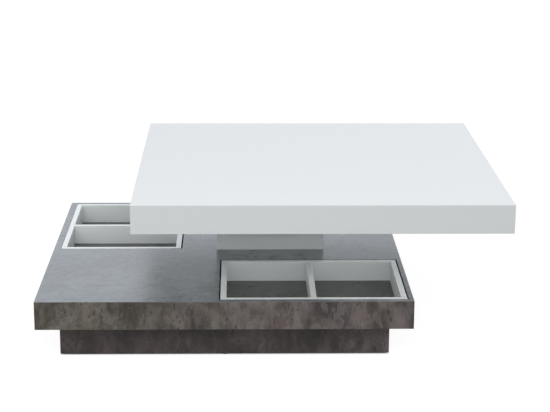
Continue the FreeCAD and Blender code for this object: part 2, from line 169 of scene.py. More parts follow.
@dataclass
class Surface:
    """Vertices and faces of closed shapes, as whole arrays."""

    points: Array
    quads: Array
    fans: Array

    def repeated(self, places: list[Place]) -> "Surface":
        """Copies of the shape, each turned by the shortest rotation from +Z to its axis.

        Args:
            places: for each copy, where the shape's own origin goes and where its +Z points.

        Returns:
            The copies as one surface, with face indices moved past the copies before.
        """
        turns = [np.array(Vector(UP).rotation_difference(Vector(axis)).to_matrix())
                 for _, axis in places]
        points = [self.points @ turn.T + np.array(base) for turn, (base, _) in zip(turns, places)]
        starts = len(self.points) * np.arange(len(places))[:, None, None]
        return Surface(np.concatenate(points), (self.quads + starts).reshape(-1, 4),
                       (self.fans + starts).reshape(-1, 3))

    def standing(self, bases: list[Triple] | Array, axis: Triple = UP) -> "Surface":
        """Copies of the shape at several points, all along one axis."""
        return self.repeated([(base, axis) for base in bases])


def closed_tube(rings: Array) -> Surface:
    """Skin over a stack of rings, closed at both ends.

    Ring i joins ring i + 1 by quads all the way round, and a fan to the mean of the first and
    of the last ring closes each end.

    Args:
        rings: grid of rows x columns points, each row running round the axis from +X to +Y.

    Returns:
        The closed surface, with faces outwards where the rows go along +Z.
    """
    rows, columns = rings.shape[:2]
    here = np.arange(rows * columns).reshape(rows, columns)
    beside = np.roll(here, -1, axis=1)
    quads = np.stack([here[:-1], beside[:-1], beside[1:], here[1:]], -1).reshape(-1, 4)
    low, high = np.full(columns, rows * columns), np.full(columns, rows * columns + 1)
    fans = np.concatenate([np.stack([beside[0], here[0], low], -1),
                           np.stack([here[-1], beside[-1], high], -1)])
    poles = [rings[0].mean(0), rings[-1].mean(0)]
    return Surface(np.concatenate([rings.reshape(-1, 3), poles]), quads, fans)


def closed_hoop(rings: Array) -> Surface:
    """Skin over a stack of rings whose last row joins its first, as on a bush or a sleeve.

    Args:
        rings: grid of rows x columns points, up the outside and then down the inside.

    Returns:
        The closed surface, with faces outwards.
    """
    rows, columns = rings.shape[:2]
    here = np.arange(rows * columns).reshape(rows, columns)
    beside, above = np.roll(here, -1, axis=1), np.roll(here, -1, axis=0)
    corner = np.roll(beside, -1, axis=0)
    quads = np.stack([here, beside, corner, above], -1).reshape(-1, 4)
    return Surface(rings.reshape(-1, 3), quads, np.zeros((0, 3), int))


def swept_round(radius: Array, height: Array) -> Array:
    """Grid of points (r cos t, r sin t, z), with t running once round over the columns.

    Args:
        radius: r for each row, or for each row and column.
        height: z in the same form.

    Returns:
        Array of rows x columns x 3.
    """
    radius, height = np.broadcast_arrays(radius, height)
    t = np.linspace(0, TURN, radius.shape[1], endpoint=False)
    return np.stack([radius * np.cos(t), radius * np.sin(t), height], -1)


def profile_rings(profile: list[Pair] | Array, columns: int) -> Array:
    """Rings of a turned shape, from the (radius, height) points of its outline."""
    r, z = np.array(profile).T[:, :, None]
    return swept_round(np.repeat(r, columns, 1), z)


def corners(offset: float, height: float, middle: Pair = (0.0, 0.0)) -> list[Triple]:
    """Four points at a height, each by an offset both ways from a middle."""
    x, y = middle
    return [(x + sx * offset, y + sy * offset, height) for sx, sy in CORNERS]


@dataclass(frozen=True)
class Thread:
    """Ridge that climbs round a rod, with a taper to a tip that isn't quite sharp."""

    crest: float
    root: float
    pitch: float
    taper: float = 0.0
    tip: float = 0.1
    rows_a_turn: int = 6

    def rings(self, start: float, end: float, columns: int) -> Array:
        """Rings along +Z.

        The radius is root + (crest - root) * w, where w = 1 - |2 f - 1| and f is the fraction of
        z / pitch - t / 2 pi, so the ridge climbs one pitch a turn. It grows from nothing over
        the first turn. Over the last `taper` it all shrinks in a straight line to the tip.

        Args:
            start: height of the first ring.
            end: height of the last ring.
            columns: points in a ring.

        Returns:
            Array of rows x columns x 3.
        """
        z = np.linspace(start, end, round((end - start) / self.pitch * self.rows_a_turn) + 1)[:, None]
        t = np.linspace(0, 1, columns, endpoint=False)
        ridge = 1 - np.abs(2 * np.mod(z / self.pitch - t, 1) - 1)
        grown = np.clip((z - start) / self.pitch, 0, 1)
        shrunk = np.clip((end - z) / self.taper, self.tip, 1) if self.taper else 1.0
        return swept_round((self.root + (self.crest - self.root) * ridge * grown) * shrunk, z)


@dataclass(frozen=True)
class CrossRecess:
    """Cross-shaped recess for a driver, with ramps at its sides and ends."""

    arm: float
    width: float
    depth: float
    side_ramp: float = 0.35
    end_ramp: float = 0.5
    rows: int = 14
    middle: float = 0.04

    def inside(self, across: Array, along: Array) -> Array:
        """How far points lie in one arm: a ramp across its half width times one at its end.

        Args:
            across: distances from the arm's middle line.
            along: distances from the cross's middle.

        Returns:
            Shares from 0 to 1.
        """
        side = (self.width / 2 - across) / (self.side_ramp * self.width) + 0.5
        end = (self.arm - along) / (self.end_ramp * self.width) + 0.5
        return np.clip(side, 0, 1) * np.clip(end, 0, 1)

    def face(self, radius: float, rim: float, dome: float, columns: int) -> Array:
        """Rings of a screw head's face with the recess in it, at z = 0 and facing -Z.

        The face is z = -dome (1 - (r / radius)^2), and the recess adds its depth times the
        greater of the two arms' shares.

        Args:
            radius: of the head.
            rim: radius where the face ends.
            dome: how far the middle stands out.
            columns: points in a ring.

        Returns:
            Array of rows x columns x 3.
        """
        r = np.linspace(self.middle, 1, self.rows)[:, None] * rim
        t = np.linspace(0, TURN, columns, endpoint=False)
        x, y = np.abs(r * np.cos(t)), np.abs(r * np.sin(t))
        sunk = self.depth * np.maximum(self.inside(x, y), self.inside(y, x))
        return swept_round(r, sunk - dome * (1 - (r / radius) ** 2))


@dataclass(frozen=True)
class Noise:
    """Soft clouds from 0 to 1: how many to the metre, and how fine, rough and bent they are."""

    scale: float
    detail: float = 3.0
    roughness: float = 0.55
    distortion: float = 0.0


class Graph:
    """Node tree with short calls for the nodes that the finishes and the studio share."""

    def __init__(self, owner: bpy.types.Material | bpy.types.World, kind: Tree = Tree.MATERIAL) -> None:
        """Starts an empty tree.

        Args:
            owner: what the tree belongs to.
            kind: of owner.
        """
        owner.use_nodes = True
        self.tree = owner.node_tree
        self.tree.nodes.clear()
        coordinates, self.output = kind.value
        self.position = self.made("TexCoord", coordinates)

    def feed(self, socket: Socket, value: object) -> None:
        """Links a socket to another one, or sets its constant.

        Args:
            socket: the input.
            value: another node's output, a colour, a vector or a number.
        """
        if isinstance(value, Socket):
            self.tree.links.new(value, socket)
        else:
            socket.default_value = (*value, 1.0) if socket.type == "RGBA" else value

    def made(self, kind: str, output: int | str, *inputs: tuple[int | str, object],
             **settings: str) -> Socket:
        """Adds a node.

        Args:
            kind: of the node, without the word that all the kinds start with.
            output: name or number of the wanted output.
            inputs: name or number of each input, and what feeds it.
            settings: the node's properties.

        Returns:
            The wanted output.
        """
        node = self.tree.nodes.new(f"ShaderNode{kind}")
        for key, value in settings.items():
            setattr(node, key, value)
        for key, value in inputs:
            self.feed(node.inputs[key], value)
        return node.outputs[output]

    def mapped(self, scale: Triple = (1, 1, 1), shift: Triple = (0, 0, 0)) -> Socket:
        """The coordinates, stretched and moved."""
        return self.made("Mapping", "Vector", ("Vector", self.position), ("Scale", scale),
                         ("Location", shift))

    def part(self, axis: Axis) -> Socket:
        """One of the coordinates."""
        return self.made("SeparateXYZ", axis.name, (0, self.position))

    def upward(self) -> Socket:
        """How far the surface faces up, from -1 to 1."""
        return self.made("SeparateXYZ", "Z", (0, self.made("TexCoord", "Normal")))

    def noise(self, vector: Socket, kind: Noise) -> Socket:
        """Soft clouds of a kind."""
        inputs = ((name.title(), value) for name, value in asdict(kind).items())
        return self.made("TexNoise", "Fac", ("Vector", vector), *inputs)

    def cells(self, vector: Socket, scale: float, wanted: Cell = Cell.DISTANCE) -> Socket:
        """Voronoi cells, of which there are `scale` to the metre."""
        return self.made("TexVoronoi", wanted.value, ("Vector", vector), ("Scale", scale))

    def spread(self, value: Socket, low: float, high: float, to_low: float = 0.0,
               to_high: float = 1.0) -> Socket:
        """Smooth step of a value between two limits."""
        return self.made("MapRange", "Result", ("Value", value), ("From Min", low), ("From Max", high),
                         ("To Min", to_low), ("To Max", to_high), interpolation_type="SMOOTHSTEP")

    def combined(self, operation: Maths, *values: object) -> Socket:
        """Math node on sockets or numbers."""
        return self.made("Math", 0, *enumerate(values), operation=operation.value)

    def off(self, value: Socket, middle: float) -> Socket:
        """How far a value lies from a middle."""
        return self.combined(Maths.ABSOLUTE, self.combined(Maths.SUBTRACT, value, middle))

    def summed(self, *weighted: tuple[Socket, float]) -> Socket:
        """Sum of values, each times its weight.

        Args:
            weighted: the values with their weights.

        Returns:
            The sum.
        """
        total: object = 0.0
        for value, weight in weighted:
            total = self.combined(Maths.MULTIPLY_ADD, value, weight, total)
        return total

    def joined(self, a: Socket, b: Socket, share: float) -> Socket:
        """Sum of two values, the second by its share and the first by the rest."""
        return self.summed((a, 1 - share), (b, share))

    def ramp(self, value: Socket, *stops: tuple[float, Colour]) -> Socket:
        """Colour from a value.

        Args:
            value: from 0 to 1.
            stops: places on the way, with their colours.

        Returns:
            The colour.
        """
        colour = self.made("ValToRGB", "Color", ("Fac", value))
        points = colour.node.color_ramp.elements
        while len(points) < len(stops):
            points.new(0.5)
        for point, (place, tint) in zip(points, stops):
            point.position = place
            point.color = (*tint, 1.0)
        return colour

    def tinted(self, value: Socket, low: Colour, high: Colour) -> Socket:
        """Colour between two, over the usual range of a noise."""
        return self.ramp(value, *zip(NOISE_SPAN, (low, high)))

    def mixed(self, share: object, a: object, b: object, blend: Blend = Blend.MIX) -> Socket:
        """Mix of two colours."""
        return self.made("Mix", 2, ("Factor", share), (6, a), (7, b), data_type="RGBA",
                         blend_type=blend.value)

    def blended(self, share: Socket, a: Socket, b: Socket) -> Socket:
        """Mix of two shaders."""
        return self.made("MixShader", 0, (0, share), (1, a), (2, b))

    def bump(self, height: Socket, depth: float, strength: float = 1.0) -> Socket:
        """Normal from a height map whose full range is `depth` metres."""
        return self.made("Bump", "Normal", ("Height", height), ("Distance", depth),
                         ("Strength", strength))

    def surface(self, **sockets: object) -> None:
        """Ends the tree in a Principled shader, by socket names with _ for a space."""
        inputs = ((key.replace("_", " "), value) for key, value in sockets.items())
        self.end(self.made("BsdfPrincipled", "BSDF", *inputs))

    def end(self, shader: Socket) -> None:
        """Leads a shader to the tree's output."""
        self.feed(self.tree.nodes.new(f"ShaderNode{self.output}").inputs["Surface"], shader)


def scaled(colour: Colour, level: float) -> Colour:
    """A colour at another level."""
    r, g, b = (level * part for part in colour)
    return r, g, b


@dataclass(frozen=True)
class Finish:
    """Part that every finish shares: its own name and the record's material slot."""

    name: str
    slot: str

    def material(self) -> bpy.types.Material:
        """Material of this finish, made when it is first asked for.

        Returns:
            The material.
        """
        found = bpy.data.materials.get(self.name)
        if not found:
            found = bpy.data.materials.new(self.name)
            self.draw(Graph(found))
        return found

    def draw(self, graph: Graph) -> None:
        """Draws the finish in an empty tree."""
        raise NotImplementedError


@dataclass(frozen=True)
class Marks:
    """Small marks that come in patches.

    Their scale is to the metre, their size a share of that, and their rarity says how little of
    the surface has them, from 0 to 1.
    """

    scale: float
    size: float
    rarity: float
    core: float = 0.5
    patch_scale: float = 0.22
    before: float = 0.04
    after: float = 0.06

    def spots(self, graph: Graph, vector: Socket) -> Socket:
        """Round spots about the points of cells."""
        return self.patchy(graph, vector, graph.cells(vector, self.scale))

    def lines(self, graph: Graph, vector: Socket) -> Socket:
        """Thin crooked lines where a noise crosses its middle."""
        noise = graph.noise(vector, Noise(self.scale, detail=5.0, roughness=0.6, distortion=0.4))
        return self.patchy(graph, vector, graph.off(noise, NOISE_MIDDLE))

    def patchy(self, graph: Graph, vector: Socket, distance: Socket) -> Socket:
        """Marks where a distance is small.

        Args:
            graph: the material's tree.
            vector: coordinates.
            distance: from the middle of the nearest mark.

        Returns:
            Mask from 0 to 1.
        """
        near = graph.spread(distance, self.core * self.size, self.size, 1.0, 0.0)
        cover = graph.noise(vector, Noise(self.patch_scale * self.scale, detail=2.0))
        patch = graph.spread(cover, self.rarity - self.before, self.rarity + self.after)
        return graph.combined(Maths.MULTIPLY, near, patch)


@dataclass(frozen=True)
class StoneDecor(Finish):
    """Printed stone-look board: clouds, stained blotches, smears, cracks, pits and pale specks.

    The hue drifts across the table from `left` to `right`, over `turn_length` metres from `turn`
    on; on the plinth it also brightens to the right, which is painted light. Upright faces can have
    a painted highlight: a pale band just below a given height, standing in for light caught by the
    top arris. A board with a backing shows brown paper underneath.
    """

    slot: str = "stone_decor"
    left: Colour = (0.103, 0.090, 0.075)
    right: Colour = (0.106, 0.086, 0.084)
    turn: float = 0.35
    turn_length: float = 0.4
    level: float = 1.0
    contrast: float = 1.0
    tones: tuple[Pair, ...] = ((0.0, 0.52), (0.35, 0.82), (0.62, 1.06), (1.0, 1.45))
    tone_span: Pair = (0.38, 0.62)
    streaks: Axis = Axis.Z
    upright: float = 0.55
    smeared: float = 0.16
    detail: float = 6.0
    shift: Triple = (0.0, 0.0, 0.0)
    clouds: Noise = Noise(7.0, distortion=0.4)
    blotches: Noise = Noise(26.0, roughness=0.66, distortion=0.3)
    smears: Noise = Noise(64.0, detail=2.0, roughness=0.5)
    drift: Noise = Noise(14.0)
    wander: float = 0.6
    grain: Noise = Noise(900.0, detail=2.0)
    clouding: float = 0.32
    smearing: float = 0.12
    graining: float = 0.14
    stain: Colour = (0.048, 0.038, 0.034)
    stains: Noise = Noise(30.0, roughness=0.62, distortion=0.3)
    stain_start: float = 0.545
    flake: Colour = (0.170, 0.160, 0.154)
    flakes: Noise = Noise(42.0, roughness=0.64, distortion=0.3)
    flake_start: float = 0.585
    border: float = 0.035
    staining: float = 0.42
    cracks: Marks = Marks(46.0, 0.014, 0.53, core=0.3, patch_scale=0.4, before=0.03, after=0.05)
    pit: Colour = (0.026, 0.021, 0.019)
    pits: Marks = Marks(120.0, 0.30, 0.55)
    hollows: Marks = Marks(56.0, 0.22, 0.58)
    speck: Colour = (0.30, 0.29, 0.28)
    specks: Marks = Marks(210.0, 0.26, 0.57)
    pitting: float = 0.70
    specking: float = 0.7
    smooth: float = 0.34
    rough: float = 0.46
    gloss_grain: float = 0.4
    relief: float = 0.00006
    relief_strength: float = 0.5
    pit_relief: float = -0.7
    grain_relief: float = 0.3
    index: float = 1.34
    coat: float = 0.0
    coat_rough: float = 0.30
    coat_index: float = 1.5
    # Painted highlight: a pale band on upright faces just below this height, for light caught by the
    # arris
    worn_top: float = 0.0
    worn_band: Pair = (0.0016, 0.0004)
    wear: float = 0.28
    worn: Colour = (0.30, 0.30, 0.30)
    level_span: Pair = (0.85, 0.97)
    backing: bool = False
    under_span: Pair = (-0.6, -0.4)
    paper: tuple[Colour, Colour] = ((0.30, 0.25, 0.19), (0.37, 0.31, 0.24))
    pulp: Noise = Noise(400.0, detail=4.0)

    def draw(self, graph: Graph) -> None:
        """Draws a tone from clouds, blotches and smears, and layers of marks over it.

        Args:
            graph: the new material's tree.
        """
        plain = graph.mapped(shift=self.shift)
        standing = graph.mapped(self.streaks.stretched(self.upright), self.shift)
        drawn_out = graph.mapped(self.streaks.stretched(self.smeared), self.shift)
        clouds, grain = graph.noise(plain, self.clouds), graph.noise(plain, self.grain)
        blotches = graph.noise(standing, replace(self.blotches, detail=self.detail))
        tone = graph.summed((clouds, self.clouding), (blotches, 1 - self.clouding - self.smearing),
                            (graph.noise(drawn_out, self.smears), self.smearing))
        shade = graph.ramp(graph.spread(tone, *self.tone_span),
                           *((place, self.shaded(level)) for place, level in self.tones))
        drift = graph.summed((graph.part(Axis.X), 1.0), (clouds, self.wander),
                             (graph.noise(plain, self.drift), self.wander))
        colour = graph.mixed(graph.spread(drift, self.turn, self.turn + self.turn_length),
                             scaled(self.left, self.level), scaled(self.right, self.level))
        colour = graph.mixed(1.0, colour, shade, Blend.MULTIPLY)

        pits = graph.combined(Maths.MAXIMUM, self.pits.spots(graph, standing),
                              self.hollows.spots(graph, standing))
        cracks, specks = self.cracks.lines(graph, standing), self.specks.spots(graph, plain)
        for share, tint in (
                (self.blotted(graph, standing, self.stains, self.stain_start), self.stain),
                (self.blotted(graph, standing, self.flakes, self.flake_start), self.flake),
                (graph.combined(Maths.MULTIPLY, cracks, self.pitting), self.stain),
                (graph.combined(Maths.MULTIPLY, pits, self.pitting), self.pit),
                (graph.combined(Maths.MULTIPLY, specks, self.pitting * self.specking), self.speck)):
            colour = graph.mixed(share, colour, scaled(tint, self.level))
        colour = graph.mixed(self.graining, colour, graph.tinted(grain, BLACK, WHITE), Blend.OVERLAY)
        gloss = graph.spread(graph.joined(blotches, grain, self.gloss_grain), *GLOSS_SPAN,
                             self.smooth, self.rough)
        relief = graph.summed((pits, self.pit_relief), (grain, self.grain_relief))
        graph.surface(Base_Color=self.edged(graph, plain, colour), Roughness=gloss, IOR=self.index,
                      Coat_Weight=self.coat, Coat_Roughness=self.coat_rough,
                      Coat_IOR=self.coat_index,
                      Normal=graph.bump(relief, self.relief, self.relief_strength))

    def edged(self, graph: Graph, plain: Socket, colour: Socket) -> Socket:
        """Adds the painted highlight just below the top of upright faces, and the backing, where the
        board has them.

        Args:
            graph: the material's tree.
            plain: coordinates.
            colour: of the decor.

        Returns:
            The colour with both.
        """
        # Painted highlight: upright faces turn paler towards the top edge, as the arris catching light
        # would make them
        if self.worn_top:
            low, high = (self.worn_top - below for below in self.worn_band)
            band = graph.spread(graph.part(Axis.Z), low, high, 0.0, self.wear)
            beside = graph.spread(graph.upward(), *self.level_span, 1.0, 0.0)
            colour = graph.mixed(graph.combined(Maths.MULTIPLY, band, beside), colour, self.worn)
        if self.backing:
            under = graph.spread(graph.upward(), *self.under_span, 1.0, 0.0)
            pulp = graph.tinted(graph.noise(plain, self.pulp), *self.paper)
            colour = graph.mixed(under, colour, pulp)
        return colour

    def blotted(self, graph: Graph, vector: Socket, noise: Noise, start: float) -> Socket:
        """Share of blotches, where a noise with this board's own detail is above a start."""
        value = graph.noise(vector, replace(noise, detail=self.detail))
        return graph.spread(value, start, start + self.border, 0.0, self.staining)

    def shaded(self, tone: float) -> Colour:
        """Grey multiplier of a tone, at this board's own contrast."""
        return scaled(WHITE, max(0.0, 1.0 + self.contrast * (tone - 1.0)))


@dataclass(frozen=True)
class WhiteLacquer(Finish):
    """Sprayed white lacquer with faint orange peel and a little haze in its gloss."""

    # The default white is darker than the top skin's, as painted shade: only the tabletop's edge bands
    # keep it
    colour: Colour = (0.605, 0.62, 0.625)
    shadow: float = 0.985
    smooth: float = 0.05
    rough: float = 0.10
    peel: float = 0.000012
    peel_scale: float = 260.0
    index: float = 1.5
    coat: float = 0.35
    coat_index: float = 1.7
    coat_rough: float = 0.05
    drift: Noise = Noise(3.0)
    haze: Noise = Noise(14.0, detail=5.0, roughness=0.65)
    dust: Noise = Noise(1400.0, detail=2.0)
    dust_tone: float = 0.3
    dust_relief: float = 0.2

    def draw(self, graph: Graph) -> None:
        """Draws slow tonal drift, gloss haze and the peel's relief.

        Args:
            graph: the new material's tree.
        """
        plain = graph.mapped()
        dust = graph.noise(plain, self.dust)
        tone = graph.joined(graph.noise(plain, self.drift), dust, self.dust_tone)
        gloss = graph.spread(graph.noise(plain, self.haze), *NOISE_SPAN, self.smooth, self.rough)
        peel = graph.noise(plain, Noise(self.peel_scale, detail=2.0))
        graph.surface(Base_Color=graph.tinted(tone, scaled(self.colour, self.shadow), self.colour),
                      Roughness=gloss, IOR=self.index, Coat_Weight=self.coat,
                      Coat_Roughness=self.coat_rough, Coat_IOR=self.coat_index,
                      Normal=graph.bump(graph.joined(peel, dust, self.dust_relief), self.peel))


@dataclass(frozen=True)
class RawBoard(Finish):
    """Pressed wood chips of several tans, with dark bark flecks and small voids."""

    slot: str = "raw_board"
    bark: Colour = (0.16, 0.10, 0.06)
    tan: Colour = (0.40, 0.29, 0.18)
    pale: Colour = (0.50, 0.38, 0.25)
    straw: Colour = (0.60, 0.48, 0.34)
    stops: tuple[float, ...] = (0.12, 0.28, 0.62, 0.95)
    chip_scale: float = 420.0
    chip_stretch: float = 0.45
    dust_scale: float = 1008.0
    dust_stretch: float = 0.5
    dust_shift: Triple = (0.3, 0.1, 0.2)
    dust_share: float = 0.4
    fading: Noise = Noise(30.0)
    fade_span: Pair = (0.4, 0.7)
    fade: float = 0.35
    rough: float = 0.78
    index: float = 1.45
    relief: float = 0.0002
    relief_strength: float = 0.6

    def draw(self, graph: Graph) -> None:
        """Draws chips as stretched cells in two sizes.

        Args:
            graph: the new material's tree.
        """
        lying = graph.mapped(Axis.X.stretched(self.chip_stretch))
        fine = graph.mapped(Axis.Y.stretched(self.dust_stretch), self.dust_shift)
        value = graph.joined(graph.cells(lying, self.chip_scale, Cell.COLOUR),
                             graph.cells(fine, self.dust_scale, Cell.COLOUR), self.dust_share)
        colour = graph.ramp(value, *zip(self.stops, (self.bark, self.tan, self.pale, self.straw)))
        faded = graph.spread(graph.noise(lying, self.fading), *self.fade_span, to_high=self.fade)
        graph.surface(Base_Color=graph.mixed(faded, colour, self.tan), Roughness=self.rough,
                      IOR=self.index, Normal=graph.bump(value, self.relief, self.relief_strength))


@dataclass(frozen=True)
class KraftPaper(Finish):
    """Brown paper with fibres and cloudy pulp."""

    slot: str = "honeycomb_paper"
    pale: Colour = (0.50, 0.36, 0.22)
    dark: Colour = (0.36, 0.25, 0.14)
    pulp: Noise = Noise(60.0, detail=5.0, roughness=0.65)
    fibres: Noise = Noise(1500.0, roughness=0.6, distortion=0.5)
    fibre_stretch: float = 0.15
    fibre_share: float = 0.5
    tone_span: Pair = (0.32, 0.68)
    rough: float = 0.88
    index: float = 1.4
    relief: float = 0.00008
    relief_strength: float = 0.7

    def draw(self, graph: Graph) -> None:
        """Draws pulp clouds and fine fibres.

        Args:
            graph: the new material's tree.
        """
        fibres = graph.noise(graph.mapped(Axis.Z.stretched(self.fibre_stretch)), self.fibres)
        tone = graph.joined(graph.noise(graph.mapped(), self.pulp), fibres, self.fibre_share)
        graph.surface(Base_Color=graph.ramp(tone, *zip(self.tone_span, (self.dark, self.pale))),
                      Roughness=self.rough, IOR=self.index,
                      Normal=graph.bump(fibres, self.relief, self.relief_strength))


@dataclass(frozen=True)
class Beech(Finish):
    """Plain beech with fine grain and short dark ray flecks."""

    slot: str = "beech"
    grain: Axis = Axis.X
    pale: Colour = (0.60, 0.43, 0.27)
    dark: Colour = (0.46, 0.30, 0.17)
    fleck: Colour = (0.27, 0.15, 0.08)
    bands: Noise = Noise(240.0, detail=4.0, roughness=0.6, distortion=0.4)
    band_stretch: float = 0.08
    flecks: Noise = Noise(900.0, detail=2.0)
    fleck_stretch: float = 0.30
    fleck_span: Pair = (0.60, 0.68)
    flecking: float = 0.55
    rough: float = 0.55
    index: float = 1.45
    relief: float = 0.00008
    relief_strength: float = 0.6

    def draw(self, graph: Graph) -> None:
        """Draws growth bands and flecks, both drawn out along the grain.

        Args:
            graph: the new material's tree.
        """
        bands = graph.noise(graph.mapped(self.grain.stretched(self.band_stretch)), self.bands)
        flecks = graph.noise(graph.mapped(self.grain.stretched(self.fleck_stretch)), self.flecks)
        colour = graph.mixed(graph.spread(flecks, *self.fleck_span, to_high=self.flecking),
                             graph.tinted(bands, self.dark, self.pale), self.fleck)
        graph.surface(Base_Color=colour, Roughness=self.rough, IOR=self.index,
                      Normal=graph.bump(bands, self.relief, self.relief_strength))


@dataclass(frozen=True)
class Metal(Finish):
    """Plated or polished steel with a mottled film and fine rubbing marks."""

    colour: Colour = (0.58, 0.59, 0.60)
    film: Colour = (0.66, 0.64, 0.56)
    smooth: float = 0.22
    rough: float = 0.38
    film_scale: float = 90.0
    film_span: Pair = (0.4, 0.7)
    rubbing: Noise = Noise(2400.0, detail=2.0)
    rub_stretch: float = 0.1
    rub_share: float = 0.5
    relief: float = 0.000006
    relief_strength: float = 0.6

    def draw(self, graph: Graph) -> None:
        """Draws the film's tint and the spread of its gloss.

        Args:
            graph: the new material's tree.
        """
        mottling = Noise(self.film_scale, detail=4.0, roughness=0.6, distortion=0.5)
        mottle = graph.noise(graph.mapped(), mottling)
        marks = graph.noise(graph.mapped(Axis.X.stretched(self.rub_stretch)), self.rubbing)
        gloss = graph.spread(graph.joined(mottle, marks, self.rub_share), *GLOSS_SPAN,
                             self.smooth, self.rough)
        colour = graph.mixed(graph.spread(mottle, *self.film_span), self.colour, self.film)
        graph.surface(Base_Color=colour, Roughness=gloss, Metallic=1.0,
                      Normal=graph.bump(marks, self.relief, self.relief_strength))


@dataclass(frozen=True)
class MouldedNylon(Finish):
    """Dark moulded plastic with a fine spark-eroded texture."""

    slot: str = "nylon"
    colour: Colour = (0.030, 0.030, 0.031)
    scuffed: Colour = (0.060, 0.060, 0.060)
    smooth: float = 0.42
    rough: float = 0.58
    texture: Noise = Noise(2600.0, roughness=0.6)
    scuffs: Noise = Noise(220.0, detail=5.0, roughness=0.7)
    scuff_span: Pair = (0.52, 0.72)
    index: float = 1.53
    relief: float = 0.00003
    relief_strength: float = 0.7

    def draw(self, graph: Graph) -> None:
        """Draws the mould's texture and pale scuffs.

        Args:
            graph: the new material's tree.
        """
        plain = graph.mapped()
        texture = graph.noise(plain, self.texture)
        scuffs = graph.spread(graph.noise(plain, self.scuffs), *self.scuff_span)
        gloss = graph.spread(texture, *NOISE_SPAN, self.smooth, self.rough)
        graph.surface(Base_Color=graph.mixed(scuffs, self.colour, self.scuffed), Roughness=gloss,
                      IOR=self.index, Normal=graph.bump(texture, self.relief, self.relief_strength))


DECK_LEVEL = Box.around("base_deck_panel").high[2]
PIVOT = tuple(Box.around("pedestal_cap").middle[:2])
# A face whose normal's Z is above this is taken as level
LEVEL_FACE = 0.95
# The apron's upright faces get a painted highlight just below the deck's level
STONE_APRON = StoneDecor("stone_apron", level=0.93, contrast=1.3, stain=(0.052, 0.037, 0.031),
                         worn_top=DECK_LEVEL * MM)
STONE_DECK = StoneDecor("stone_deck", left=(0.076, 0.091, 0.100), right=(0.078, 0.089, 0.104),
                        stain=(0.064, 0.068, 0.070), flake=(0.190, 0.200, 0.206), level=1.05,
                        contrast=1.4, pitting=0.15, smearing=0.0, border=0.08, streaks=Axis.X,
                        upright=1.0, detail=5.0, smooth=0.24, rough=0.38, relief=0.000008,
                        index=1.50, coat=0.85)
# Pockets' floor: the decor at a lower level, painted shade in the recesses
STONE_FLOOR_PAINTED_SHADE = StoneDecor("stone_pocket_floor", left=(0.096, 0.096, 0.092), right=(0.098, 0.094, 0.094),
                         level=0.66, pitting=0.3, smearing=0.0, border=0.10, streaks=Axis.X,
                         upright=1.0, detail=3.0, shift=(0.41, 0.17, 0.3), smooth=0.26, rough=0.40,
                         relief=0.000008, index=1.52, coat=0.1, backing=True)
# Plinth: its low level is painted shade under the base's overhang, and its brighter right colour is
# painted light from the right
STONE_PLINTH_PAINTED_SHADE_AND_LIGHT = StoneDecor("stone_plinth", left=(0.110, 0.087, 0.083), right=(0.178, 0.146, 0.144),
                          level=0.44, turn=0.55, shift=(0.23, 0.61, 0.07))
GLOSS_WHITE = WhiteLacquer("gloss_lacquer", "white_gloss", colour=(0.80, 0.80, 0.81), index=1.42,
                           coat=0.0)
PEDESTAL_WHITE = WhiteLacquer("pedestal_lacquer", "white_gloss", colour=(0.78, 0.80, 0.79), coat=1.0)
# Edge bands keep the darker default white, painted shade on the slab's upright faces
GLOSS_EDGE_PAINTED_SHADE = WhiteLacquer("gloss_edge_band", "white_gloss_edge", peel=0.000016, peel_scale=180.0)
SATIN_WHITE = WhiteLacquer("satin_lacquer", "white_satin", colour=(0.775, 0.80, 0.80), smooth=0.30,
                           rough=0.42, peel=0.00002, peel_scale=700.0, coat=0.0)
# Tray tops: a brighter white than the boards', painted light on the up-facing edges; their gloss is the
# edge band's own
RIM_WHITE_PAINTED_LIGHT = WhiteLacquer("rim_edge_band", "white_satin", colour=(0.92, 0.93, 0.93), smooth=0.16,
                         rough=0.20, peel=0.000001, peel_scale=300.0, coat=0.8, coat_rough=0.15)
CHIPBOARD = RawBoard("chipboard")
KRAFT = KraftPaper("kraft_paper")
BEECH_X = Beech("beech_across")
BEECH_Y = Beech("beech_deep", grain=Axis.Y)
BEECH_Z = Beech("beech_upright", grain=Axis.Z)
ZINC = Metal("zinc_plate", "zinc_steel")
BALL_STEEL = Metal("ball_steel", "bright_steel", colour=(0.72, 0.72, 0.72), film=(0.76, 0.76, 0.75),
                   smooth=0.05, rough=0.11, film_scale=160.0)
NYLON = MouldedNylon("moulded_nylon")


def sides(prefix: str) -> list[str]:
    """Names of the CAD nodes on a part's four sides."""
    return [f"{prefix}_{side}" for side in ("front", "back", "left", "right")]


def dress(finish: Finish, *nodes: str) -> None:
    """Puts a finish on CAD nodes, which keep their own meshes.

    Args:
        finish: the finish.
        nodes: names of the nodes.
    """
    for name in nodes:
        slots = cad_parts[name].data.materials
        slots.clear()
        slots.append(finish.material())
        LOG.info("%s: %s", name, finish.name)


def dress_tops(finish: Finish, *nodes: str) -> None:
    """Puts a second finish on the level upper faces of CAD nodes.

    Args:
        finish: the finish.
        nodes: names of nodes that already have a finish.
    """
    for name in nodes:
        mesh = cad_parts[name].data
        mesh.materials.append(finish.material())
        normals = np.empty(3 * len(mesh.polygons), np.float32)
        mesh.polygons.foreach_get("normal", normals)
        upward = normals.reshape(-1, 3)[:, 2] > LEVEL_FACE
        mesh.polygons.foreach_set("material_index", upward.astype(np.int32))


def add_object(name: str, data: bpy.types.ID) -> bpy.types.Object:
    """Puts a new object into the scene.

    Args:
        name: of the object.
        data: its mesh, lamp or camera.

    Returns:
        The object, at the origin.
    """
    made = bpy.data.objects.new(name, data)
    bpy.context.scene.collection.objects.link(made)
    return made


